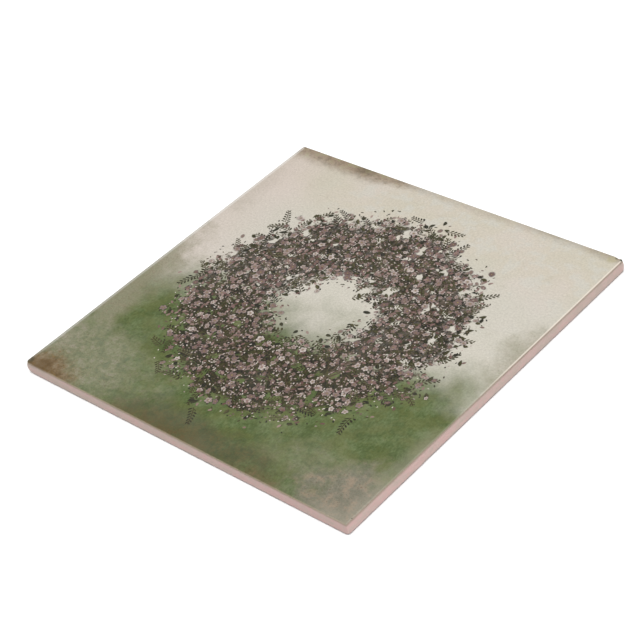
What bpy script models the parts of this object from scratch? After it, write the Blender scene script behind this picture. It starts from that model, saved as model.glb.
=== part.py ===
"""A square glazed ceramic tile, six inches a side, lying face up.

The biscuit is the pressed clay body: a thin slab with rounded upright corners, softened edges and
a grid of shallow pockets pressed into its back. The glaze is the coat on its face, with a rounded
rim. The origin is at the middle of the underside, +Z points out of the glazed face.
"""

import math

import bmesh
import bpy

MM = 0.001

# Driving dimensions
SIDE = 152.4 * MM
THICKNESS = 5.0 * MM
GLAZE_COAT = 0.45 * MM
COAT_GAP = 0.3 * MM

# Upright corners, anticlockwise from the one between +X and +Y. No two came out alike.
CORNER_RADII = (1.2 * MM, 1.1 * MM, 1.4 * MM, 0.8 * MM)
CORNER_STEPS = 6

# Edges of the clay body. Its corners are rounder at the foot than at the face.
FOOT_ROUNDER = 0.9 * MM
FOOT_EDGE = 0.35 * MM
FOOT_EDGE_STEPS = 3
SHOULDER = 0.12 * MM

# Rounded rim of the glaze
RIM_RADIUS = 0.36 * MM
RIM_STEPS = 4

# Grid pressed into the back
POCKETS_EACH_WAY = 8
BORDER = 6.5 * MM
RIB = 2.4 * MM
POCKET_DEPTH = 0.7 * MM
POCKET_DRAFT = 0.45 * MM
POCKET_RADIUS = 1.8 * MM
POCKET_STEPS = 3
OVERCUT = 0.4 * MM

# Heights that follow from them
GLAZE_FOOT = THICKNESS - GLAZE_COAT
BISCUIT_HEIGHT = GLAZE_FOOT - COAT_GAP
POCKET_PITCH = (SIDE - 2 * BORDER + RIB) / POCKETS_EACH_WAY
POCKET_SIDE = POCKET_PITCH - RIB

# Colours, as linear red, green, blue and alpha. The glaze has the mean colour of its print.
CLAY_PINK = (0.47, 0.35, 0.32, 1.0)
FADED_PRINT = (0.25, 0.23, 0.18, 1.0)


def clear_scene():
    for thing in list(bpy.data.objects):
        bpy.data.objects.remove(thing, do_unlink=True)


def principled(name, colour, roughness):
    material = bpy.data.materials.new(name)
    material.use_nodes = True
    shader = material.node_tree.nodes["Principled BSDF"]
    shader.inputs["Base Color"].default_value = colour
    shader.inputs["Roughness"].default_value = roughness
    shader.inputs["Metallic"].default_value = 0.0
    material.diffuse_color = colour
    return material


def corners(rounder):
    """The four radii of the tile's corners, each so much rounder."""
    return [radius + rounder for radius in CORNER_RADII]


def rounded_square(side, radii, steps, centre=(0.0, 0.0)):
    """The outline's points, anticlockwise, with each corner an arc of so many steps."""
    points = []
    for quarter, radius in enumerate(radii):
        start = quarter * math.pi / 2
        middle = start + math.pi / 4
        reach = side / 2 - radius
        corner_x = centre[0] + math.copysign(reach, math.cos(middle))
        corner_y = centre[1] + math.copysign(reach, math.sin(middle))
        for step in range(steps + 1):
            angle = start + step / steps * math.pi / 2
            points.append((corner_x + radius * math.cos(angle), corner_y + radius * math.sin(angle)))
    return points


def add_loft(bm, outlines):
    """One closed body through outlines of equal length, each given as (points, height)."""
    rings = [[bm.verts.new((x, y, height)) for x, y in points] for points, height in outlines]
    for lower, upper in zip(rings, rings[1:]):
        count = len(lower)
        for i in range(count):
            j = (i + 1) % count
            bm.faces.new((lower[i], lower[j], upper[j], upper[i]))
    bm.faces.new(reversed(rings[0]))
    bm.faces.new(rings[-1])


def new_object(name, bm, material=None):
    mesh = bpy.data.meshes.new(name)
    bm.to_mesh(mesh)
    bm.free()
    thing = bpy.data.objects.new(name, mesh)
    bpy.context.scene.collection.objects.link(thing)
    if material:
        mesh.materials.append(material)
    return thing


def rounded_edge(radius, steps):
    """(inset, rise) along a quarter round, from its flat end to the upright wall."""
    turns = [step / steps * math.pi / 2 for step in range(steps + 1)]
    return [(radius * (1 - math.sin(turn)), radius * (1 - math.cos(turn))) for turn in turns]


def biscuit_outlines():
    outlines = []
    for inset, rise in rounded_edge(FOOT_EDGE, FOOT_EDGE_STEPS):
        foot = rounded_square(SIDE - 2 * inset, corners(FOOT_ROUNDER - inset), CORNER_STEPS)
        outlines.append((foot, rise))
    shoulder_foot = BISCUIT_HEIGHT - SHOULDER
    outlines.append((rounded_square(SIDE, CORNER_RADII, CORNER_STEPS), shoulder_foot))
    top = rounded_square(SIDE - 2 * SHOULDER, corners(-SHOULDER), CORNER_STEPS)
    outlines.append((top, BISCUIT_HEIGHT))
    return outlines


def pocket_cutter():
    """Tapered blocks, one for each pocket, that reach a little below the back."""
    bm = bmesh.new()
    taper = POCKET_DRAFT / POCKET_DEPTH
    mouth = POCKET_SIDE + 2 * taper * OVERCUT
    mouth_radii = [POCKET_RADIUS + taper * OVERCUT] * 4
    floor = POCKET_SIDE - 2 * POCKET_DRAFT
    floor_radii = [POCKET_RADIUS - POCKET_DRAFT] * 4
    first = -(POCKETS_EACH_WAY - 1) / 2 * POCKET_PITCH
    for row in range(POCKETS_EACH_WAY):
        for column in range(POCKETS_EACH_WAY):
            centre = (first + column * POCKET_PITCH, first + row * POCKET_PITCH)
            wide = rounded_square(mouth, mouth_radii, POCKET_STEPS, centre)
            narrow = rounded_square(floor, floor_radii, POCKET_STEPS, centre)
            add_loft(bm, [(wide, -OVERCUT), (narrow, POCKET_DEPTH)])
    return new_object("back_pocket_cutter", bm)


def shade_round(thing, angle=math.radians(40)):
    thing.data.shade_smooth()
    thing.data.set_sharp_from_angle(angle=angle)


def cut_away(thing, cutter):
    """Cuts the cutter out of the thing for good, so that its new edges can be shaded too."""
    cut = thing.modifiers.new("cut", "BOOLEAN")
    cut.operation = "DIFFERENCE"
    cut.solver = "EXACT"
    cut.object = cutter
    graph = bpy.context.evaluated_depsgraph_get()
    mesh = bpy.data.meshes.new_from_object(thing.evaluated_get(graph), depsgraph=graph)
    thing.modifiers.remove(cut)
    uncut = thing.data
    thing.data = mesh
    bpy.data.meshes.remove(uncut)
    mesh.name = thing.name
    bpy.data.objects.remove(cutter, do_unlink=True)


def make_biscuit():
    bm = bmesh.new()
    add_loft(bm, biscuit_outlines())
    biscuit = new_object("biscuit", bm, principled("clay", CLAY_PINK, 0.9))
    cut_away(biscuit, pocket_cutter())
    shade_round(biscuit)
    return biscuit


def make_glaze():
    """The coat is modelled from its own foot up and then set over the clay."""
    bm = bmesh.new()
    outlines = [(rounded_square(SIDE, CORNER_RADII, CORNER_STEPS), 0.0)]
    for inset, drop in reversed(rounded_edge(RIM_RADIUS, RIM_STEPS)):
        rim = rounded_square(SIDE - 2 * inset, corners(-inset), CORNER_STEPS)
        outlines.append((rim, GLAZE_COAT - drop))
    add_loft(bm, outlines)
    glaze = new_object("glaze", bm, principled("glaze", FADED_PRINT, 0.3))
    glaze.location.z = GLAZE_FOOT
    shade_round(glaze)
    return glaze


def main():
    clear_scene()
    tile = bpy.data.objects.new("tile", None)
    bpy.context.scene.collection.objects.link(tile)
    for piece in (make_biscuit(), make_glaze()):
        piece.parent = tile


main()
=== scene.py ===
import math

import bpy
import numpy as np
from mathutils import Matrix, Vector, noise


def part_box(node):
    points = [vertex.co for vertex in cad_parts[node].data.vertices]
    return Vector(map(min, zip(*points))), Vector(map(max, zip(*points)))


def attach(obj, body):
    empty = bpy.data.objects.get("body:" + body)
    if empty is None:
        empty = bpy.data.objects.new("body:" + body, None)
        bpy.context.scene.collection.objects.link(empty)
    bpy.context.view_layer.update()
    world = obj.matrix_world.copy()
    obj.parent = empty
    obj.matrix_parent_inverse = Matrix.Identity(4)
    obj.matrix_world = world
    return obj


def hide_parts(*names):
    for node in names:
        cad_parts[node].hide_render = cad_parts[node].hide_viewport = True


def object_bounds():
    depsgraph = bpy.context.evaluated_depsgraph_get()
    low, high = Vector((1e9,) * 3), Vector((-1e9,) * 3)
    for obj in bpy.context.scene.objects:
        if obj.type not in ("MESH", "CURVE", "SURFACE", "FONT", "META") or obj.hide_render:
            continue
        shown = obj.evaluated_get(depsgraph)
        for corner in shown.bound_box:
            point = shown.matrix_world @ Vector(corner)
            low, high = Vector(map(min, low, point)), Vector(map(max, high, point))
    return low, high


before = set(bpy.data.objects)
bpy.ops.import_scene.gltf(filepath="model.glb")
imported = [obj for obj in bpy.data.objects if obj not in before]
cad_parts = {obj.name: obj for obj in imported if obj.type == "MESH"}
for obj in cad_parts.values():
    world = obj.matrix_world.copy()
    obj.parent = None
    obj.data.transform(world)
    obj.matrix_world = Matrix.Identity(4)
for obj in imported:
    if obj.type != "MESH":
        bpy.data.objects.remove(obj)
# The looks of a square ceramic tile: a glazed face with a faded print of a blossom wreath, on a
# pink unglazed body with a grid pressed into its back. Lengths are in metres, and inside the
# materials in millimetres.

MM = 0.001

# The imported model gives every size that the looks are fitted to.
cad_low, cad_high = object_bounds()
glaze_low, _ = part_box("glaze")
HALF = (cad_high.x - cad_low.x) / 2
SIDE = 2 * HALF
FLOOR = cad_low.z
TOP = cad_high.z
GLAZE_FOOT = glaze_low.z
HALF_MM = HALF / MM

# Radii of the right, far, left and near corner, as the photo shows them: each is sharpest at the
# waist, and rounder at the face and the foot
CORNER_RADII = (1.4 * MM, 1.1 * MM, 1.5 * MM, 0.4 * MM)
WAIST_RADII = (0.4 * MM, 0.7 * MM, 0.2 * MM, 0.2 * MM)
FOOT_RADII = (1.5 * MM, 1.4 * MM, 3.4 * MM, 2.0 * MM)
WAIST = FLOOR + 2.3 * MM

# The photo's camera, found from the tile's four corners. Its distance and aim are in sides.
CAMERA_AZIMUTH = math.radians(48.39)
CAMERA_ELEVATION = math.radians(38.29)
CAMERA_ROLL = math.radians(-11.76)
CAMERA_DISTANCE = 4.244
AIM_RIGHT, AIM_UP = 0.0013, 0.024
SENSOR = 36.0
FOCAL_PIXELS, IMAGE_PIXELS = 1823.2, 644
NEAREST_SEEN = 0.01

# Soft round lamps that face the tile: where each hangs, how wide it is, and its watts
LAMPS = {
    "overhead": ((0.10, -0.15, 1.3), 1.3, 21.0),
    "side_fill": ((1.12, -0.3, 0.5), 0.9, 4.3),
}
WORLD_LIGHT = 0.36
FLOOR_REACH = 4.0
FLOOR_WHITE = (0.93, 0.93, 0.93, 1.0)

# What the light does to the face's colours: all of them times one number, plus the glaze's sheen
LIGHT_ON_FACE = 1.2
SHEEN_ON_FACE = 0.022
LIGHT_ON_SIDES = 1.2
DARKEST_INK = 0.002


def srgb(red, green, blue):
    """The linear colour of one as it shows on a screen, 0 to 255."""

    def linear(level):
        share = level / 255
        return share / 12.92 if share <= 0.04045 else ((share + 0.055) / 1.055) ** 2.4

    return (linear(red), linear(green), linear(blue), 1.0)


def ink(red, green, blue):
    """The ink that shows on the lit face as this screen colour."""
    levels = srgb(red, green, blue)[:3]
    return (*[max((level - SHEEN_ON_FACE) / LIGHT_ON_FACE, DARKEST_INK) for level in levels], 1.0)


def clay(red, green, blue):
    """The clay that shows on the lit sides as this screen colour."""
    levels = srgb(red, green, blue)[:3]
    return (*[level / LIGHT_ON_SIDES for level in levels], 1.0)


# Camera, light and floor


def add_camera():
    azimuth, elevation, roll = CAMERA_AZIMUTH, CAMERA_ELEVATION, CAMERA_ROLL
    back = Vector((
        math.sin(azimuth) * math.cos(elevation),
        -math.cos(azimuth) * math.cos(elevation),
        math.sin(elevation),
    ))
    level = Vector((math.cos(azimuth), math.sin(azimuth), 0))
    rise = back.cross(level)
    right = math.cos(roll) * level + math.sin(roll) * rise
    up = math.cos(roll) * rise - math.sin(roll) * level
    eye = SIDE * (CAMERA_DISTANCE * back - AIM_RIGHT * right - AIM_UP * up)
    eye.z += GLAZE_FOOT
    data = bpy.data.cameras.new("camera")
    data.sensor_width = SENSOR
    data.lens = FOCAL_PIXELS / IMAGE_PIXELS * SENSOR
    data.clip_start = NEAREST_SEEN
    camera = bpy.data.objects.new("camera", data)
    camera.matrix_world = Matrix.Translation(eye) @ Matrix((right, up, back)).transposed().to_4x4()
    bpy.context.scene.collection.objects.link(camera)
    bpy.context.scene.camera = camera


def add_lamp(name, place, width, watts):
    data = bpy.data.lights.new(name, "AREA")
    data.shape = "DISK"
    data.size = width
    data.energy = watts
    lamp = bpy.data.objects.new(name, data)
    lamp.location = place
    lamp.rotation_mode = "QUATERNION"
    lamp.rotation_quaternion = (-Vector(place)).to_track_quat("-Z", "Y")
    bpy.context.scene.collection.objects.link(lamp)


def add_studio():
    scene = bpy.context.scene
    scene.view_settings.view_transform = "Standard"
    world = bpy.data.worlds.new("studio")
    world.use_nodes = True
    background = world.node_tree.nodes["Background"]
    background.inputs["Color"].default_value = (1.0, 1.0, 1.0, 1.0)
    background.inputs["Strength"].default_value = WORLD_LIGHT
    scene.world = world
    for name, (place, width, watts) in LAMPS.items():
        add_lamp(name, place, width, watts)


def add_floor():
    mesh = bpy.data.meshes.new("floor")
    reach = FLOOR_REACH
    corners = [(-reach, -reach), (reach, -reach), (reach, reach), (-reach, reach)]
    mesh.from_pydata([(x, y, FLOOR) for x, y in corners], [], [(0, 1, 2, 3)])
    floor = bpy.data.objects.new("floor", mesh)
    material, _, shader = new_material("white_floor")
    shader.inputs["Base Color"].default_value = FLOOR_WHITE
    shader.inputs["Roughness"].default_value = 0.9
    shader.inputs["Specular IOR Level"].default_value = 0.1
    mesh.materials.append(material)
    bpy.context.scene.collection.objects.link(floor)


# Shader arithmetic


class Signal:
    """A number that shader nodes work out. Arithmetic on signals adds Math nodes to their tree."""

    def __init__(self, tree, socket):
        self.tree = tree
        self.socket = socket

    def math(self, operation, *others):
        made = self.tree.nodes.new("ShaderNodeMath")
        made.operation = operation
        for i, value in enumerate((self, *others)):
            feed(self.tree, made.inputs[i], value)
        return Signal(self.tree, made.outputs[0])

    def __add__(self, other):
        return self.math("ADD", other)

    def __sub__(self, other):
        return self.math("SUBTRACT", other)

    def __mul__(self, other):
        return self.math("MULTIPLY", other)

    def __truediv__(self, other):
        return self.math("DIVIDE", other)

    def __rsub__(self, other):
        return (self * -1.0) + other

    def __abs__(self):
        return self.math("ABSOLUTE")

    __rmul__ = __mul__

    def sin(self):
        return self.math("SINE")

    def cos(self):
        return self.math("COSINE")

    def fraction(self):
        return self.math("FRACT")

    def least(self, other):
        return self.math("MINIMUM", other)

    def most(self, other):
        return self.math("MAXIMUM", other)

    def ramp(self, low, high, start, end):
        """start up to low, end from high on, and a smooth way between them."""
        made = self.tree.nodes.new("ShaderNodeMapRange")
        made.interpolation_type = "SMOOTHSTEP"
        for name, value in (("From Min", low), ("From Max", high), ("To Min", start), ("To Max", end)):
            feed(self.tree, made.inputs[name], value)
        feed(self.tree, made.inputs["Value"], self)
        return Signal(self.tree, made.outputs["Result"])

    def rise(self, low, high, top=1.0):
        """Nothing up to low, and top from high on."""
        return self.ramp(low, high, 0.0, top)

    def fade(self, low, high, top=1.0):
        """top up to low, and nothing from high on."""
        return self.ramp(low, high, top, 0.0)

    def band(self, start, full, fading, end):
        """1 between full and fading, and nothing before start and after end."""
        return self.rise(start, full) * self.fade(fading, end)


def feed(tree, socket, value):
    """Links a signal or an output to the socket, or sets the socket's own value."""
    if isinstance(value, Signal):
        value = value.socket
    if isinstance(value, bpy.types.NodeSocket):
        tree.links.new(value, socket)
    else:
        socket.default_value = value


def length(point):
    x, y = point
    return (x * x + y * y).math("SQRT")


def heading(point):
    x, y = point
    return y.math("ARCTAN2", x)


def turned(point, angle):
    """The point as seen from axes that are turned by the angle."""
    x, y = point
    sine, cosine = angle.sin(), angle.cos()
    return x * cosine + y * sine, y * cosine - x * sine


def vector(x, y, z=0.0):
    made = x.tree.nodes.new("ShaderNodeCombineXYZ")
    for socket, value in zip(made.inputs, (x, y, z)):
        feed(x.tree, socket, value)
    return made.outputs[0]


def split(tree, socket):
    made = tree.nodes.new("ShaderNodeSeparateXYZ")
    tree.links.new(socket, made.inputs[0])
    return [Signal(tree, output) for output in made.outputs]


def grain(tree, place, scale, detail=2.0, roughness=0.5):
    """Noise from 0 to 1 round 0.5."""
    made = tree.nodes.new("ShaderNodeTexNoise")
    made.noise_dimensions = "3D"
    tree.links.new(place, made.inputs["Vector"])
    for name, value in (("Scale", scale), ("Detail", detail), ("Roughness", roughness)):
        made.inputs[name].default_value = value
    return Signal(tree, made.outputs["Fac"])


def mixed(tree, share, below, above):
    """below where the share is 0 and above where it is 1."""
    made = tree.nodes.new("ShaderNodeMix")
    made.data_type = "RGBA"
    made.clamp_factor = True
    colours = [socket for socket in made.inputs if socket.type == "RGBA"]
    feed(tree, made.inputs["Factor"], share)
    feed(tree, colours[0], below)
    feed(tree, colours[1], above)
    return next(socket for socket in made.outputs if socket.type == "RGBA")


def picked(share, colours):
    """A colour from the row: the first where the share is 0, the last where it is 1."""
    made = share.tree.nodes.new("ShaderNodeValToRGB")
    stops = made.color_ramp.elements
    last = len(colours) - 1
    stops[0].color = colours[0]
    stops[1].color = colours[last]
    for i in range(1, last):
        stops.new(i / last).color = colours[i]
    feed(share.tree, made.inputs["Fac"], share)
    return made.outputs["Color"]


def tinted(noise_signal, colours, reach):
    """A colour from the row by a noise, the outer ones where it strays this far from its middle."""
    return picked(noise_signal.rise(0.5 - reach, 0.5 + reach), colours)


def toned(tree, paint, amount):
    """The paint made darker or lighter by an amount near 1."""
    made = tree.nodes.new("ShaderNodeVectorMath")
    made.operation = "SCALE"
    tree.links.new(paint, made.inputs[0])
    feed(tree, made.inputs["Scale"], amount)
    return made.outputs[0]


# The print: a blossom wreath on a faded ground, in millimetres from the tile's middle

CREAMS = (ink(196, 190, 173), ink(200, 192, 177), ink(204, 195, 184))
COOL_CREAM = ink(200, 197, 187)
PINK_CREAM = ink(205, 191, 182)
MOSSES = (ink(76, 89, 53), ink(91, 104, 67), ink(106, 119, 82))
DRY_MOSS = ink(108, 110, 68)
MIST = ink(142, 141, 118)
HAZES = (ink(112, 118, 98), ink(133, 134, 108), ink(150, 145, 128))
GREIGE = ink(144, 136, 116)
OLIVE = ink(100, 96, 66)
DARK_OLIVE = ink(80, 74, 54)
RUST = ink(132, 104, 58)
FADED_RUSTS = (ink(124, 110, 90), ink(158, 136, 119), ink(158, 150, 120))
PUCES = (ink(117, 115, 101), ink(131, 125, 112), ink(151, 135, 118))
SHADES = (ink(77, 82, 62), ink(87, 88, 65), ink(101, 94, 68))
UMBERS = (ink(97, 78, 54), ink(121, 101, 77), ink(140, 124, 101))
ASH = ink(160, 150, 138)
WORN_EDGES = (ink(118, 108, 88), ink(150, 131, 113), ink(150, 143, 113))
SHADOWS = (ink(34, 32, 20), ink(48, 43, 31), ink(66, 58, 46), ink(88, 78, 66))
TWIG = ink(66, 56, 44)
TWIG_LIT = ink(112, 99, 86)
LEAVES = (ink(43, 42, 27), ink(56, 55, 36), ink(72, 69, 48), ink(91, 86, 62))
YOUNG_LEAVES = (ink(66, 70, 42), ink(86, 87, 58), ink(109, 105, 80))
BLOSSOMS = (ink(116, 97, 93), ink(145, 128, 122), ink(176, 161, 154), ink(209, 199, 191))
PETAL_SHADE = ink(105, 84, 81)
STAMENS = ink(150, 132, 92)
BUDS = (ink(100, 74, 71), ink(130, 104, 99), ink(161, 139, 132))

# The ground: how high the cream gives way to moss, and how far that line wanders with the clouds
HORIZON = (-2.0, 30.0)
HORIZON_WANDER = 44.0
TUFT_ACROSS, TUFT_ALONG = 1.5, 0.8

# Its noises: scale, detail and roughness
CLOUDS = (0.035, 4.0, 0.6)
BLOTCHES = (0.12, 5.0, 0.65)
PATCHES = (0.13, 3.0, 0.65)
TUFTS = (0.8, 3.0, 0.7)
STAIN_EDGES = (0.07, 6.0, 0.72)
FLECKS = (0.42, 4.0, 0.7)
HUES = (0.19, 4.0, 0.7)
SPECKS = (1.5, 3.0, 0.65)
RUST_FLECKS = (0.75, 3.0, 0.7)
FIBRES = (1.3, 3.0, 0.7)

# Stains of age: middle, half-width across and along, strength and colours
STAINS = (
    ((-50.0, 80.0), (42.0, 12.0), 0.9, FADED_RUSTS),
    ((50.0, 80.0), (60.0, 6.0), 0.5, (OLIVE, GREIGE)),
    ((-80.0, -22.0), (24.0, 54.0), 0.8, (MIST, GREIGE)),
    ((-70.0, -66.0), (62.0, 27.0), 0.8, HAZES),
    ((-84.0, -56.0), (20.0, 22.0), 0.6, (MIST, ASH)),
    ((56.0, -60.0), (36.0, 12.0), 0.4, HAZES),
    ((4.0, -73.0), (50.0, 12.0), 0.85, SHADES),
    ((-72.0, -79.0), (28.0, 17.0), 0.95, UMBERS),
    ((-8.0, -79.0), (40.0, 10.0), 0.6, (OLIVE, UMBERS[0])),
    ((76.0, -74.0), (34.0, 29.0), 0.9, PUCES),
    ((80.0, 14.0), (16.0, 26.0), 0.6, (MIST, GREIGE)),
    ((-82.0, 46.0), (18.0, 36.0), 0.17, (MIST, GREIGE)),
    ((36.0, -78.0), (18.0, 8.0), 0.7, (UMBERS[0], OLIVE, UMBERS[1])),
)

# Where rusty flecks lie over the stains: middle and half-width across and along
RUSTY = (
    ((-72.0, -79.0), (34.0, 20.0)),
    ((-42.0, 80.0), (44.0, 13.0)),
)


def cream_ground(tree, point, cloud, patch):
    """Cream, cooler low down and in patches, and pinker to the left."""
    x, y = point
    cream = tinted(cloud, CREAMS, 0.2)
    low = (y + cloud * 24.0).fade(46.0, 70.0, 0.6)
    in_patches = patch.rise(0.46, 0.62, 0.7) * x.rise(-60.0, -20.0)
    cream = mixed(tree, low.most(in_patches), cream, COOL_CREAM)
    leftwards = x.fade(-76.0, -44.0, 0.6)
    return mixed(tree, leftwards, cream, PINK_CREAM)


def moss_ground(tree, point, blotch, patch):
    """Moss green in tufts, with drier patches."""
    x, y = point
    tuft = grain(tree, vector(x * TUFT_ACROSS, y * TUFT_ALONG), *TUFTS)
    moss = tinted(blotch * 0.55 + tuft * 0.45, MOSSES, 0.14)
    dry = patch.rise(0.4, 0.6, 0.4)
    return mixed(tree, dry, moss, DRY_MOSS)


def stain_cover(point, middle, halves, ragged):
    """How strongly an oval stain with a ragged edge covers the point, 0 to 1."""
    x, y = point
    reach = length(((x - middle[0]) / halves[0], (y - middle[1]) / halves[1]))
    return (reach + (ragged - 0.5) * 1.5).fade(0.35, 1.0)


def stained(tree, paint, point, hue):
    """Lays the stains over the paint, with dark specks in all of them and rusty flecks in some."""
    place = vector(*point)
    ragged = grain(tree, place, *STAIN_EDGES)
    dirt = 0.0
    for middle, halves, strength, colours in STAINS:
        cover = stain_cover(point, middle, halves, ragged) * strength
        paint = mixed(tree, cover, paint, tinted(hue, colours, 0.14))
        dirt = cover.most(dirt)
    specks = grain(tree, place, *SPECKS).rise(0.54, 0.68, 0.6)
    paint = mixed(tree, specks * dirt, paint, UMBERS[0])
    flecks = grain(tree, place, *RUST_FLECKS).rise(0.54, 0.66, 0.5)
    for middle, halves in RUSTY:
        paint = mixed(tree, flecks * stain_cover(point, middle, halves, ragged), paint, RUST)
    return paint


def worn(tree, paint, point, fleck, hue):
    """Lays a worn strip over the paint along the back edge, widest and strongest to the left."""
    x, y = point
    depth = ((HALF_MM - y) + (fleck - 0.5) * 3.0) * x.ramp(-40.0, -15.0, 0.5, 1.0)
    strength = x.ramp(-35.0, -10.0, 0.78, 0.3).most(x.rise(52.0, 68.0, 0.55))
    return mixed(tree, depth.fade(1.0, 5.0) * strength, paint, tinted(hue, WORN_EDGES, 0.12))


def paper(tree, point):
    """The faded ground: cream above, moss green below, worn and stained towards the edges."""
    place = vector(*point)
    cloud = grain(tree, place, *CLOUDS)
    blotch = grain(tree, place, *BLOTCHES)
    patch = grain(tree, place, *PATCHES)
    fleck = grain(tree, place, *FLECKS)
    hue = (fleck + grain(tree, place, *HUES)) * 0.5
    cream = cream_ground(tree, point, cloud, patch)
    moss = moss_ground(tree, point, blotch, patch)
    mossy = (point[1] + cloud * HORIZON_WANDER).fade(*HORIZON)
    paint = mixed(tree, mossy, cream, moss)
    greyed = blotch.rise(0.55, 0.8, 0.2)
    paint = mixed(tree, greyed, paint, GREIGE)
    paint = stained(tree, paint, point, hue)
    paint = worn(tree, paint, point, fleck, hue)
    fibre = grain(tree, place, *FIBRES)
    return toned(tree, paint, fibre.ramp(0.25, 0.75, 0.88, 1.12))


# The wreath: the radius of its middle, the half-widths of its dense band and of all its motifs, and
# how far it wanders in and out
WREATH = 37.0
FULL_HALF = 10.0
FEATHERED_HALF = 26.0
WREATH_WANDER = 8.0

# The noises of its wandering and of its gaps: scale and detail
WANDERING = (0.06, 2.0)
GAPS = (0.17, 2.0)

# How far the cells of one layer are shifted against those of the next
LAYER_SHIFT = (17.3, 9.7)

# A floret's petals: how many, and the middle, half-length and half-width of each in its radii
PETALS = 5
PETAL_MIDDLE, PETAL_LENGTH, PETAL_WIDTH = 0.56, 0.46, 0.4

# A leaf's half-width in its half-lengths, and how much it loses towards its tip
LEAF_WIDTH, LEAF_TAPER = 0.4, 0.12

# A sprig's leaflets: how many to each half-length, how far they lean, and the middle, half-length
# and half-width of each in their own spacing
LEAFLET_RATE = 3.2
LEAFLET_LEAN = 0.75
LEAFLET_MIDDLE, LEAFLET_LENGTH, LEAFLET_WIDTH = 0.55, 0.56, 0.24

# A dab's half-length and half-width in its layer's spacing
DAB_LENGTH, DAB_WIDTH = 0.55, 0.28

STEM_STRANDS = 6
STEM_TREMBLE = 3.0


def fullness(tree, point, further=0.0):
    """How full of blossom the print is there: 1 along the wreath, 0 well off it and in its gaps."""
    place = vector(*point)
    wander = grain(tree, place, *WANDERING) * (2 * WREATH_WANDER) - WREATH_WANDER
    off = abs(length(point) - WREATH + wander)
    filled = grain(tree, place, *GAPS).rise(0.33, 0.43)
    return off.fade(FULL_HALF + further, FEATHERED_HALF + further) * filled


def scatter(tree, point, spacing, seed, spread):
    """Cells a spacing apart: the offset from the nearest cell's centre, that centre and three
    random numbers of the cell."""
    x, y = point
    cells = tree.nodes.new("ShaderNodeTexVoronoi")
    cells.voronoi_dimensions = "2D"
    cells.feature = "F1"
    cells.inputs["Scale"].default_value = 1.0
    cells.inputs["Randomness"].default_value = spread
    shift_x, shift_y = (shift * seed for shift in LAYER_SHIFT)
    tree.links.new(vector(x / spacing + shift_x, y / spacing + shift_y), cells.inputs["Vector"])
    centre_x, centre_y, _ = split(tree, cells.outputs["Position"])
    centre = ((centre_x - shift_x) * spacing, (centre_y - shift_y) * spacing)
    offset = (x - centre[0], y - centre[1])
    chances = split(tree, cells.outputs["Color"])
    return offset, centre, chances


def again(chance, times):
    """Another random number out of one."""
    return (chance * times).fraction()


def is_drawn(tree, centre, chance, share, further=0.0):
    """1 in the cells that get their motif: that share of them where the print is full."""
    return (fullness(tree, centre, further) * share - chance).math("GREATER_THAN", 0.0)


def add_stems(tree, paint, point):
    """Wavy stems twined round the wreath, each thinner and wavier than the last."""
    reach, angle = length(point), heading(point)
    tremble = grain(tree, vector(*point), 0.16, 3.0) * (2 * STEM_TREMBLE) - STEM_TREMBLE
    for strand in range(STEM_STRANDS):
        waves = 4 + 2 * strand
        swing = 3.4 + 1.3 * strand
        width = 0.75 - 0.08 * strand
        sway = (angle * waves + 1.9 * strand).sin() * swing + tremble
        gap = reach - WREATH - sway
        cover = abs(gap).fade(width * 0.6, width, 0.95)
        tint = mixed(tree, gap.rise(-width, width, 0.8), TWIG, TWIG_LIT)
        paint = mixed(tree, cover, paint, tint)
    return paint


def add_sprigs(tree, paint, point, spacing, size, seed, share, fan, colours, further=0.0):
    """Lays twigs with small leaves up both sides over the paint. They reach away from the wreath."""
    offset, centre, (chance, choice, spin) = scatter(tree, point, spacing, seed, 0.6)
    drawn = is_drawn(tree, centre, chance, share, further)
    direction = heading(centre) + (spin - 0.5) * fan
    along, across = turned(offset, direction)
    along, across = along / size, across / size
    across = across + along * along * (again(choice, 3.0) - 0.5) * 0.5
    on_twig = abs(along).fade(0.93, 0.98)
    twig = abs(across).fade(0.02, 0.05) * on_twig
    paint = mixed(tree, twig * drawn, paint, TWIG)
    stagger = across.rise(-0.01, 0.01, 0.5)
    step = again(along + stagger / LEAFLET_RATE, LEAFLET_RATE) - 0.5
    taper = 1.15 - along * 0.45
    away = abs(across) * LEAFLET_RATE / taper - LEAFLET_MIDDLE
    sine, cosine = math.sin(LEAFLET_LEAN), math.cos(LEAFLET_LEAN)
    long_way = (step * cosine + away * sine) / LEAFLET_LENGTH
    wide_way = (away * cosine - step * sine) / LEAFLET_WIDTH
    inside = (1.0 - (long_way * long_way + wide_way * wide_way)) * on_twig
    tint = picked(again(choice, 7.0), colours)
    dark_half = wide_way.rise(-0.3, 0.3, 0.35)
    tint = mixed(tree, dark_half, tint, LEAVES[0])
    return mixed(tree, inside.rise(0.0, 0.25) * drawn, paint, tint)


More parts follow.
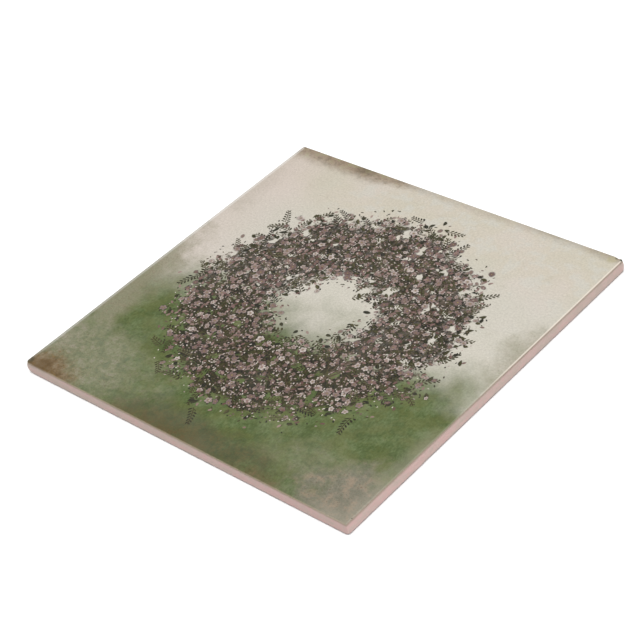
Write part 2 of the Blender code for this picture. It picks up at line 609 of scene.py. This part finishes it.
def add_leaves(tree, paint, point, spacing, size, seed, share, colours):
    """Lays leaves over the paint. They follow the wreath round."""
    offset, centre, (chance, choice, spin) = scatter(tree, point, spacing, seed, 0.7)
    drawn = is_drawn(tree, centre, chance, share)
    direction = heading(centre) + (spin - 0.5) * 3.6 + (math.pi / 2)
    along, across = turned(offset, direction)
    along = along / (size * (again(choice, 5.0) * 0.4 + 0.6))
    across = across / size + along * along * (again(choice, 3.0) - 0.5) * 0.5
    inside = (1.0 - along * along) * (along * -LEAF_TAPER + LEAF_WIDTH) - abs(across)
    shadow = (inside + 0.2).rise(0.0, 0.3, 0.5) * drawn
    paint = mixed(tree, shadow, paint, SHADOWS[0])
    tint = picked(choice, colours)
    dark_half = across.rise(-0.05, 0.05, 0.4)
    tint = mixed(tree, dark_half, tint, LEAVES[0])
    rib = abs(across).fade(0.02, 0.07, 0.5)
    tint = mixed(tree, rib, tint, YOUNG_LEAVES[1])
    return mixed(tree, inside.rise(0.0, 0.07) * drawn, paint, tint)


def add_florets(tree, paint, point, spacing, size, seed, share):
    """Lays five-petalled florets over the paint, each tipped its own way."""
    offset, centre, (chance, choice, spin) = scatter(tree, point, spacing, seed, 0.7)
    drawn = is_drawn(tree, centre, chance, share)
    tipped_x, tipped_y = turned(offset, spin * math.tau)
    tip = again(choice, 7.0) * 0.4 + 0.6
    radius = size * (again(spin, 5.0) * 0.35 + 0.65)
    flat = (tipped_x / (tip * radius), tipped_y / radius)
    reach = length(flat)
    turn = heading(flat) + chance * math.tau
    petal = (again(turn, PETALS / math.tau) - 0.5) * (math.tau / PETALS)
    along, across = reach * petal.cos(), abs(reach * petal.sin())
    long_way, wide_way = (along - PETAL_MIDDLE) / PETAL_LENGTH, across / PETAL_WIDTH
    inside = 1.0 - (long_way * long_way + wide_way * wide_way)
    shadow = reach.fade(0.75, 1.35, 0.6) * drawn
    paint = mixed(tree, shadow, paint, SHADOWS[0])
    tint = picked(choice * choice, BLOSSOMS)
    throat = reach.fade(0.05, 0.7, 0.8)
    petal_edge = inside.fade(0.0, 0.45, 0.3)
    far_side = (tipped_x / radius).rise(-1.0, 1.0, 0.35)
    for share_of_shade in (throat, petal_edge, far_side):
        tint = mixed(tree, share_of_shade, tint, PETAL_SHADE)
    paint = mixed(tree, inside.rise(0.0, 0.2) * drawn, paint, tint)
    heart = reach.fade(0.12, 0.26, 0.85) * drawn
    return mixed(tree, heart, paint, STAMENS)


def add_dabs(tree, paint, point, spacing, seed, share, colours, further=0.0):
    """Lays short strokes of many tints over the paint."""
    offset, centre, (chance, choice, spin) = scatter(tree, point, spacing, seed, 0.9)
    drawn = is_drawn(tree, centre, chance, share, further)
    along, across = turned(offset, spin * math.tau)
    reach = length((along / (spacing * DAB_LENGTH), across / (spacing * DAB_WIDTH)))
    return mixed(tree, reach.fade(0.6, 1.0, 0.9) * drawn, paint, picked(choice, colours))


# The wreath's layers from the lowest up
DARK_DABS = (*SHADOWS[:3], *LEAVES[:3], BLOSSOMS[0])
LIGHT_DABS = (*BLOSSOMS[1:], CREAMS[0])
LAYERS = (
    (add_sprigs, dict(spacing=8.0, size=4.4, seed=11, share=0.95, fan=2.4, colours=LEAVES[1:], further=4.0)),
    (add_dabs, dict(spacing=1.4, seed=1, share=0.85, colours=DARK_DABS)),
    (add_leaves, dict(spacing=4.2, size=1.9, seed=2, share=0.85, colours=LEAVES)),
    (add_florets, dict(spacing=3.2, size=1.35, seed=3, share=0.45)),
    (add_sprigs, dict(spacing=8.5, size=3.8, seed=12, share=0.7, fan=3.2, colours=LEAVES, further=2.0)),
    (add_leaves, dict(spacing=3.8, size=1.7, seed=4, share=0.75, colours=LEAVES)),
    (add_dabs, dict(spacing=1.1, seed=5, share=0.45, colours=(*LEAVES, *BLOSSOMS))),
    (add_florets, dict(spacing=3.6, size=1.55, seed=6, share=0.45)),
    (add_sprigs, dict(spacing=7.5, size=3.4, seed=13, share=0.5, fan=4.4, colours=YOUNG_LEAVES)),
    (add_florets, dict(spacing=4.4, size=1.9, seed=7, share=0.34)),
    (add_dabs, dict(spacing=2.0, seed=8, share=0.22, colours=BUDS, further=2.0)),
    (add_dabs, dict(spacing=0.9, seed=9, share=0.14, colours=LIGHT_DABS)),
)


def printed_design(tree, point):
    """The ground, the wreath's dark tangle and stems, its layers, and a thin haze over all."""
    place = vector(*point)
    paint = paper(tree, point)
    rough = grain(tree, place, 0.5, 4.0, 0.75)
    tangle = (fullness(tree, point) + (rough - 0.5) * 1.6).rise(0.55, 0.95, 0.92)
    paint = mixed(tree, tangle, paint, tinted(rough, SHADOWS, 0.2))
    paint = add_stems(tree, paint, point)
    for add, settings in LAYERS:
        paint = add(tree, paint, point, **settings)
    haze = grain(tree, place, 0.05, 3.0, 0.6).rise(0.4, 0.75, 0.04)
    return mixed(tree, haze, paint, CREAMS[1])


# Materials


def new_material(name):
    material = bpy.data.materials.new(name)
    material.use_nodes = True
    tree = material.node_tree
    return material, tree, tree.nodes["Principled BSDF"]


def add_bump(tree, shader, height, strength, distance):
    bump = tree.nodes.new("ShaderNodeBump")
    bump.inputs["Strength"].default_value = strength
    bump.inputs["Distance"].default_value = distance
    feed(tree, bump.inputs["Height"], height)
    tree.links.new(bump.outputs["Normal"], shader.inputs["Normal"])


def millimetres(tree):
    """The object's own coordinates in millimetres, as one vector and as three signals."""
    coordinates = tree.nodes.new("ShaderNodeTexCoord")
    scaled = tree.nodes.new("ShaderNodeVectorMath")
    scaled.operation = "SCALE"
    scaled.inputs["Scale"].default_value = 1 / MM
    tree.links.new(coordinates.outputs["Object"], scaled.inputs[0])
    return scaled.outputs[0], split(tree, scaled.outputs[0])


def edge_distance(x, y):
    """How far inside the tile's rounded outline a point is, in millimetres."""
    right, far, left, near = (radius / MM for radius in CORNER_RADII)
    at_right, at_back = x.rise(-1.0, 1.0), y.rise(-1.0, 1.0)
    front_radius = at_right * (near - left) + left
    back_radius = at_right * (right - far) + far
    radius = front_radius + (back_radius - front_radius) * at_back
    across, along = abs(x) - HALF_MM + radius, abs(y) - HALF_MM + radius
    beyond = length((across.most(0.0), along.most(0.0)))
    return radius - beyond - across.most(along).least(0.0)


# Each side's own tint meets its neighbour's on the diagonal, within this half-width.
MITRE = 0.4


def near_right(x, y):
    """1 where the right side is the nearest one."""
    return (x - abs(y)).rise(-MITRE, MITRE)


def near_front(x, y):
    return (y + abs(x)).fade(-MITRE, MITRE)


def near_left(x, y):
    return (x + abs(y)).fade(-MITRE, MITRE)


# The rim: a pale line along the right side, partly unprinted glaze and partly painted highlight, then
# a painted shade line where the glaze's edge turns down; print fading into clay colour at the front,
# grey at the two back edges, and a painted highlight (a gleam) along the left one
RIM_PALE_HIGHLIGHT = ink(229, 219, 206)
RIM_SHADE_LINE = ink(160, 142, 128)
RIM_CLAY = ink(166, 150, 128)
RIM_BACK = ink(166, 160, 144)
RIM_GLEAM = ink(250, 249, 246)
RIM_FADED = ink(176, 168, 152)

# Dark spots on the back edge and in the left corner, nicks in the glaze's edge and an ochre spot by
# the right corner: middle, radius, strength and colour
NICK_DARK = ink(72, 72, 58)
OCHRE = ink(178, 170, 132)
MARKS = (
    ((HALF_MM - 3.6, HALF_MM - 2.2), 2.6, 0.45, OCHRE),
    ((HALF_MM - 2.4, HALF_MM - 0.8), 0.9, 0.6, NICK_DARK),
    ((HALF_MM - 0.5, HALF_MM - 0.7), 0.95, 1.0, NICK_DARK),
    ((-44.0, HALF_MM - 0.8), 4.2, 0.35, DARK_OLIVE),
    ((-39.5, HALF_MM - 1.0), 4.0, 0.3, DARK_OLIVE),
    ((HALF_MM - 0.35, 3.1 - HALF_MM), 0.3, 0.9, NICK_DARK),
    ((7.0 - HALF_MM, 1.4 - HALF_MM), 6.0, 0.5, UMBERS[0]),
    ((0.8 - HALF_MM, 1.8 - HALF_MM), 2.2, 0.6, NICK_DARK),
)

GLAZE_IOR = 1.5
GLAZE_ROUGHNESS = (0.26, 0.36)
RIPPLE_BUMP = 0.04 * MM


def rimmed(tree, paint, x, y, uneven):
    """Lays the rim's tints, its painted highlights and its painted shade line over the paint."""
    edge = edge_distance(x, y)
    uneven_edge = edge + uneven * 0.3
    right, front, left = near_right(x, y), near_front(x, y), near_left(x, y)
    back = 1.0 - right.most(front)
    # The gleam is a painted highlight along the left edge's rounded rim.
    gleam = edge.band(0.2, 0.7, 0.9, 1.7) * y.ramp(-30.0, 40.0, 0.24, 0.34)
    faded = edge.fade(0.5, 7.0, 0.28) * x.rise(54.0, 70.0) * y.fade(-38.0, -22.0)
    # A pale line on the right edge's rounded rim: partly unprinted glaze, partly a painted highlight.
    pale = edge.band(0.1, 0.25, 0.55, 0.8) * y.ramp(-12.0, 14.0, 0.1, 0.75)
    for cover, tint in (
        (uneven_edge.fade(0.0, 0.4, 0.75) * front, RIM_CLAY),
        (uneven_edge.fade(0.0, 0.6, 0.5) * back, RIM_BACK),
        (gleam * left * y.ramp(-74.0, -60.0, 0.3, 1.0), RIM_GLEAM),
        (faded, RIM_FADED),
        (pale * right, RIM_PALE_HIGHLIGHT),
        # A painted shade line where the glaze's edge turns down on the right side.
        (edge.fade(0.05, 0.25, 0.9) * right, RIM_SHADE_LINE),
    ):
        paint = mixed(tree, cover, paint, tint)
    return paint


def marked(tree, paint, x, y, uneven):
    """Lays the marks over the paint, each fading outwards from two fifths of its radius."""
    for middle, radius, strength, colour in MARKS:
        reach = length((x - middle[0], y - middle[1])) + uneven * 0.4
        paint = mixed(tree, reach.fade(radius * 0.4, radius, strength), paint, colour)
    return paint


def glaze_material():
    material, tree, shader = new_material("printed_glaze")
    place, (x, y, _) = millimetres(tree)
    uneven = grain(tree, place, 0.5, 3.0, 0.6) - 0.5
    paint = printed_design(tree, (x, y))
    paint = rimmed(tree, paint, x, y, uneven)
    paint = marked(tree, paint, x, y, uneven)
    tree.links.new(paint, shader.inputs["Base Color"])
    smudge = grain(tree, place, 0.08, 4.0, 0.6)
    feed(tree, shader.inputs["Roughness"], smudge.ramp(0.3, 0.7, *GLAZE_ROUGHNESS))
    shader.inputs["IOR"].default_value = GLAZE_IOR
    ripple = grain(tree, place, 0.45, 2.0, 0.5)
    add_bump(tree, shader, ripple, 0.2, RIPPLE_BUMP)
    return material


CLAYS = (clay(190, 174, 163), clay(198, 176, 168), clay(205, 173, 168))
CLAY_PALE = clay(208, 191, 184)
CLAY_DARK = clay(170, 153, 147)
# Painted shade: the clay just under the glaze's lip, darkened as the lip's shadow, more olive on the front
# side.
CLAY_LIP_SHADE = clay(158, 142, 128)
CLAY_LIP_SHADE_FRONT = clay(151, 138, 117)
# Painted contact shade along the foot, where the clay meets the floor.
CLAY_FOOT_SHADE = clay(150, 140, 138)
CLAY_ROUGHNESS = (0.82, 0.98)
PIT_BUMP = 0.12 * MM

# The clay's patches and wiped streaks are drawn out along the sides, by these scales
PATCH_ALONG, PATCH_UP = 0.14, 0.5
STREAK_ALONG = 0.2


def clay_tint(tree, place, x, y, z, inwards):
    """The clay's soft patches, mottled, and a little pinker towards the near corner."""
    patch = grain(tree, vector(x * PATCH_ALONG, y * PATCH_ALONG, z * PATCH_UP), 1.0, 2.0, 0.55)
    mottle = grain(tree, place, 0.9, 3.0, 0.65)
    strength = inwards.ramp(1.0, 3.0, 1.0, 0.6)
    patch = ((patch - 0.5) * 0.45 + (mottle - 0.5) * 0.45) * strength + 0.5
    patch = patch + (x - y).ramp(0.0, 2.0 * HALF_MM, -0.04, 0.06)
    return tinted(patch, CLAYS, 0.16)


def clay_material():
    """The sides were wiped along their length, so their marks are drawn out that way."""
    material, tree, shader = new_material("pink_clay")
    place, (x, y, z) = millimetres(tree)
    inwards = edge_distance(x, y)
    streak = grain(tree, vector(x * STREAK_ALONG, y * STREAK_ALONG, z), 1.7, 3.0, 0.6)
    speck = grain(tree, place, 2.6, 4.0, 0.7)
    ragged = (grain(tree, place, 0.9, 3.0, 0.7) - 0.5) * 0.5
    # Painted shadow of the glaze's lip on the clay just beneath it, with a ragged edge.
    painted_lip_shade = ((GLAZE_FOOT / MM) - z + ragged).fade(0.0, 0.9, 0.6)
    pale_foot = z.fade(0.1, 0.5, 0.4) * speck.rise(0.3, 0.6)
    # Painted contact shade: the clay darkened along its foot edge, where it meets the floor.
    painted_foot_shade = (z + ragged).fade(0.35, 0.75, 0.9) * inwards.fade(1.0, 2.0)
    paint = clay_tint(tree, place, x, y, z, inwards)
    for cover, tint in (
        (streak.rise(0.52, 0.8, 0.35), CLAY_PALE),
        (streak.fade(0.22, 0.45, 0.35), CLAY_DARK),
        (speck.fade(0.3, 0.42, 0.3), CLAY_DARK),
        (painted_lip_shade, mixed(tree, near_front(x, y), CLAY_LIP_SHADE, CLAY_LIP_SHADE_FRONT)),
        (pale_foot, CLAY_PALE),
        (painted_foot_shade, CLAY_FOOT_SHADE),
    ):
        paint = mixed(tree, cover, paint, tint)
    tree.links.new(paint, shader.inputs["Base Color"])
    feed(tree, shader.inputs["Roughness"], speck.ramp(0.3, 0.7, *CLAY_ROUGHNESS))
    shader.inputs["Specular IOR Level"].default_value = 0.2
    pits = grain(tree, place, 3.2, 5.0, 0.75)
    add_bump(tree, shader, pits, 0.6, PIT_BUMP)
    return material


# Meshes

# The grid's lines bend round inside a square block at each corner.
BLOCK = 4.0 * MM
BLOCK_STEPS = 18
BLOCK_CLEARANCE = 0.2 * MM

# In the flat layout, the place and size of the flat end, which hardly shows
END_PLACE, END_SIZE = 0.002, 0.005

SHARP_EDGE = math.radians(50)
NOISE_SHIFT = np.array([3.7, 1.3, 5.1])


def grid_lines(inner):
    """The lines at these places, and closer and closer ones towards the edges."""
    steps = np.arange(BLOCK_STEPS + 1) / BLOCK_STEPS
    near_edge = HALF - BLOCK * steps**2
    inner = np.asarray(inner)
    clear = (inner > 0) & (inner < HALF - BLOCK - BLOCK_CLEARANCE)
    right = np.unique(np.concatenate([near_edge, inner[clear]]))
    return np.concatenate([-right[::-1], [0.0], right])


def at_corners(values, x, y):
    """Of the values for the right, far, left and near corner, the one of each point's quarter."""
    right, far, left, near = values
    return np.where(y > 0, np.where(x > 0, right, far), np.where(x > 0, near, left))


def inside_edge(points, radii):
    """How far inside the tile's rounded outline each point is, in metres."""
    x, y = points.T
    radius = at_corners(radii, x, y)
    over = np.abs(points.T) - (HALF - radius)
    beyond = np.hypot(*over.clip(0, None))
    return radius - beyond - over.max(axis=0).clip(None, 0)


class Slab:
    """A square grid whose lines bend round the tile's corners."""

    def __init__(self, lines):
        x, y = np.meshgrid(lines, lines)
        self.flat = np.stack([x.ravel(), y.ravel()], axis=1)
        count = len(lines)
        number = np.arange(count * count).reshape(count, count)
        sides = (number[0, :-1], number[:-1, -1], number[-1, :0:-1], number[:0:-1, 0])
        self.border = np.concatenate(sides)
        corners = (number[:-1, :-1], number[:-1, 1:], number[1:, 1:], number[1:, :-1])
        self.quads = np.stack([corner.ravel() for corner in corners], axis=1)

    def rounded(self, radii):
        """The points with the corners at these radii, and each one's way out to the edge."""
        x, y = self.flat.T
        over_x, over_y = np.abs(x) - (HALF - BLOCK), np.abs(y) - (HALF - BLOCK)
        low = np.minimum(over_x, over_y)
        in_block = low > 0
        high = np.where(in_block, np.maximum(over_x, over_y), BLOCK)
        arc = at_corners(radii, x, y) * high / BLOCK
        straight = high - arc
        walked = low / high * (straight + arc * math.pi / 4)
        turn = np.where(in_block, ((walked - straight) / arc).clip(0, None), 0)
        main = straight + arc * np.cos(turn)
        side = np.where(turn > 0, straight + arc * np.sin(turn), walked)
        up = over_y > over_x
        bent = np.stack([np.where(up, side, main), np.where(up, main, side)], axis=1)
        ways = np.sign(self.flat)
        points = np.where(in_block[:, None], ways * (HALF - BLOCK + bent), self.flat)
        sine, cosine = np.sin(turn), np.cos(turn)
        out = ways * np.stack([np.where(up, sine, cosine), np.where(up, cosine, sine)], axis=1)
        return points, out

    def ring(self, radii, inset, height):
        """The outline with the corners at these radii, so far further in, at a height."""
        points, out = self.rounded(radii)
        points, out = points[self.border], out[self.border]
        shift = out * np.broadcast_to(inset, len(points))[:, None]
        return np.column_stack([points - shift, np.broadcast_to(height, len(points))])


def wobble(points, widths, seed):
    """Smooth noise at each point, from about -1 to 1, its features this wide each way."""
    places = points / np.asarray(widths) + NOISE_SHIFT * seed
    return np.array([noise.noise(Vector(place)) for place in places])


def unrolled(slab, cap, rings):
    """A flat layout of the piece: the cap as it lies, and the walls folded outwards round it."""
    _, out = slab.rounded(CORNER_RADII)
    out = out[slab.border]
    start = cap[slab.border]
    walked = 0.0
    last = start
    layout = [cap[:, :2]]
    for ring in rings:
        walked = walked + np.linalg.norm(ring - last, axis=1).mean()
        layout.append(start[:, :2] + out * walked)
        last = ring
    reach = HALF + walked + MM
    return np.concatenate(layout) / (2 * reach) + 0.5


def build(name, slab, cap, rings, faces_up, material):
    """A closed piece: the cap's grid, rings of wall hung from its border, and a flat end."""
    faces = slab.quads
    last = slab.border
    start = len(cap)
    for ring in rings:
        here = np.arange(start, start + len(ring))
        wall = np.stack([last, here, np.roll(here, -1), np.roll(last, -1)], axis=1)
        faces = np.concatenate([faces, wall])
        last = here
        start += len(ring)
    faces = [*faces.tolist(), last[::-1].tolist()]
    if not faces_up:
        faces = [face[::-1] for face in faces]
    points = np.concatenate([cap, *rings])
    mesh = bpy.data.meshes.new(name)
    mesh.from_pydata(points.tolist(), [], faces)
    layout = unrolled(slab, cap, rings)
    end_layout = END_PLACE + END_SIZE * (rings[-1][:, :2] / SIDE + 0.5)
    corners = np.concatenate([layout[face] for face in map(np.array, faces[:-1])])
    end_corners = end_layout[np.array(faces[-1]) - (len(points) - len(rings[-1]))]
    flat = mesh.uv_layers.new(name="OFBake")
    flat.data.foreach_set("uv", np.concatenate([corners, end_corners]).ravel())
    mesh.materials.append(material)
    mesh.shade_smooth()
    mesh.set_sharp_from_angle(angle=SHARP_EDGE)
    piece = bpy.data.objects.new(name, mesh)
    bpy.context.scene.collection.objects.link(piece)
    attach(piece, "root")
    return piece


# Glaze: a soft cushion edge, then a tight roll down to where the coat ends on the clay

GLAZE_STEP = 1.1 * MM
CUSHION_WIDTH = 1.5 * MM
CUSHION_DROP = 0.09 * MM
ROLL = 0.27 * MM
RIPPLE = 0.012 * MM
RIPPLE_WIDTH = 9 * MM
CHIP_PLACE = HALF - 2.0 * MM
CHIP_WIDTH = 0.9 * MM
CHIP_DEPTH = 0.42 * MM

# The coat's lower edge: its height over the foot, its long and short waves, and how it tucks in
COAT_END = 0.03 * MM
LONG_WAVE, LONG_WAVE_WIDTH = 0.05 * MM, 5 * MM
SHORT_WAVE, SHORT_WAVE_WIDTH = 0.02 * MM, 1.2 * MM
TUCK_IN, TUCK_DROP = 0.05 * MM, 0.02 * MM
UNDERSIDE_IN, UNDERSIDE_LIFT = 0.4 * MM, 0.02 * MM


def glaze_drop(edge):
    """How far the face has come down, this far inside the edge."""
    cushion = CUSHION_DROP * (1 - (edge / CUSHION_WIDTH).clip(0, 1)) ** 2
    in_roll = (1 - edge / ROLL).clip(0, 1)
    return cushion + ROLL * (1 - np.sqrt(1 - in_roll**2))


def make_glaze():
    slab = Slab(grid_lines(np.arange(GLAZE_STEP, HALF, GLAZE_STEP)))
    points, _ = slab.rounded(CORNER_RADII)
    drop = glaze_drop(inside_edge(points, CORNER_RADII))
    flat = np.column_stack([points, np.zeros(len(points))])
    ripple = wobble(flat, RIPPLE_WIDTH, 1) * RIPPLE
    near_back = (1 - (HALF - points[:, 1]) / BLOCK).clip(0, 1)
    chip = CHIP_DEPTH * np.exp(-(((points[:, 0] - CHIP_PLACE) / CHIP_WIDTH) ** 2)) * near_back
    points[:, 1] -= chip
    cap = np.column_stack([points, TOP - RIPPLE - drop + ripple])

    border = cap[slab.border]
    waves = wobble(border, LONG_WAVE_WIDTH, 2) * LONG_WAVE + wobble(border, SHORT_WAVE_WIDTH, 3) * SHORT_WAVE
    foot = GLAZE_FOOT + COAT_END + waves
    lower = slab.ring(CORNER_RADII, 0.0, foot)
    tucked = slab.ring(CORNER_RADII, TUCK_IN, foot - TUCK_DROP)
    inner = slab.ring(CORNER_RADII, UNDERSIDE_IN, GLAZE_FOOT + UNDERSIDE_LIFT)
    for ring in (lower, tucked, inner):
        ring[:, 1] -= chip[slab.border]
    glaze = build("glaze_coat", slab, cap, [lower, tucked, inner], True, glaze_material())
    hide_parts("glaze")


# Clay body: a grid of shallow pockets pressed into its back, and rough sides

POCKETS_EACH_WAY = 8
BORDER = 6.5 * MM
RIB = 2.4 * MM
POCKET_DEPTH = 0.7 * MM
POCKET_WALL = 0.6 * MM
POCKET_RADIUS = 1.8 * MM
PITCH = (SIDE - 2 * BORDER + RIB) / POCKETS_EACH_WAY
POCKET_HALF = (PITCH - RIB) / 2
WALL_LINES = 5
FLOOR_LINES = 6
BORDER_LINES = 5
BACK_ROUGHNESS, BACK_GRAIN = 0.03 * MM, 2.5 * MM

FOOT_EDGE = 0.35 * MM
FOOT_STEPS = 4
SIDE_STEPS = 12

# The top of the sides: where they begin to draw in, the shoulder, and the clay's edge under the coat
SHOULDER_FOOT = GLAZE_FOOT - 0.1 * MM
SHOULDER_IN, SHOULDER_TOP = 0.08 * MM, GLAZE_FOOT - 0.02 * MM
COVERED_IN, COVERED_TOP = 0.3 * MM, GLAZE_FOOT + 0.01 * MM

# Marks in the sides: long shallow ones, and nicks that are deepest at the foot. Depth and widths
LONG_MARK, LONG_MARK_WIDTHS = 0.02 * MM, (9 * MM, 9 * MM, 0.7 * MM)
NICK, NICK_WIDTHS = 0.35 * MM, (1.6 * MM, 1.6 * MM, 0.9 * MM)
NICK_RARITY = 0.15
NICKED_HEIGHT = 0.9 * MM


def pocket_lines():
    """Positive grid line positions that follow the pockets' walls, and even ones between them."""
    walls = POCKET_HALF - POCKET_WALL * np.linspace(0, 1, WALL_LINES)
    even = np.linspace(0, POCKET_HALF - POCKET_WALL * 1.6, FLOOR_LINES)
    across = np.concatenate([walls, even, [PITCH / 2]])
    found = []
    for pocket in range(POCKETS_EACH_WAY // 2):
        middle = (pocket + 0.5) * PITCH
        found += [middle - across, middle + across]
    outer = middle + POCKET_HALF
    found.append(np.linspace(outer, HALF - BLOCK, BORDER_LINES)[1:-1])
    return np.unique(np.concatenate(found).round(7))


def pocket_depth(points):
    near = np.abs((np.abs(points) % PITCH) - PITCH / 2)
    over = near.T - (POCKET_HALF - POCKET_RADIUS)
    inside = POCKET_RADIUS - np.hypot(*over.clip(0, None)) - over.max(axis=0).clip(None, 0)
    share = (inside / POCKET_WALL).clip(0, 1)
    span = POCKETS_EACH_WAY / 2 * PITCH
    pressed = (np.abs(points) < span).all(axis=1)
    return np.where(pressed, POCKET_DEPTH * share * share * (3 - 2 * share), 0)


def radii_at(height):
    """The corners' radii at a height: they grow from the waist both ways."""
    end, reach = (CORNER_RADII, GLAZE_FOOT - WAIST) if height > WAIST else (FOOT_RADII, WAIST - FLOOR)
    share = min((height - WAIST) ** 2 / reach**2, 1)
    return [waist + (last - waist) * share for waist, last in zip(WAIST_RADII, end)]


def side_ring(slab, inset, height):
    """The clay's outline at a height, with the marks of pressing and handling in it."""
    ring = slab.ring(radii_at(height), inset, height)
    long_marks = LONG_MARK * (wobble(ring, LONG_MARK_WIDTHS, 5) + 1)
    nicks = NICK * (wobble(ring, NICK_WIDTHS, 6).clip(NICK_RARITY, None) - NICK_RARITY)
    near_foot = max(1 - (height - FLOOR) / NICKED_HEIGHT, 0)
    return slab.ring(radii_at(height), inset + long_marks + nicks * near_foot, height)


def make_biscuit():
    slab = Slab(grid_lines(pocket_lines()))
    points, out = slab.rounded(FOOT_RADII)
    edge = inside_edge(points, FOOT_RADII)
    drawn_in = FOOT_EDGE * (1 - edge / BLOCK).clip(0, 1)
    points = points - out * drawn_in[:, None]
    flat = np.column_stack([points, np.zeros(len(points))])
    rough = np.abs(wobble(flat, BACK_GRAIN, 4)) * BACK_ROUGHNESS
    cap = np.column_stack([points, FLOOR + pocket_depth(points) + rough])

    rings = []
    for step in range(1, FOOT_STEPS + 1):
        turn = step / FOOT_STEPS * math.pi / 2
        height = FLOOR + FOOT_EDGE * (1 - math.cos(turn))
        rings.append(side_ring(slab, FOOT_EDGE * (1 - math.sin(turn)), height))
    for height in np.linspace(FLOOR + FOOT_EDGE, SHOULDER_FOOT, SIDE_STEPS + 1)[1:]:
        rings.append(side_ring(slab, 0.0, height))
    rings.append(side_ring(slab, SHOULDER_IN, SHOULDER_TOP))
    rings.append(side_ring(slab, COVERED_IN, COVERED_TOP))
    biscuit = build("clay_body", slab, cap, rings, False, clay_material())
    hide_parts("biscuit")


add_camera()
add_studio()
add_floor()
make_glaze()
make_biscuit()
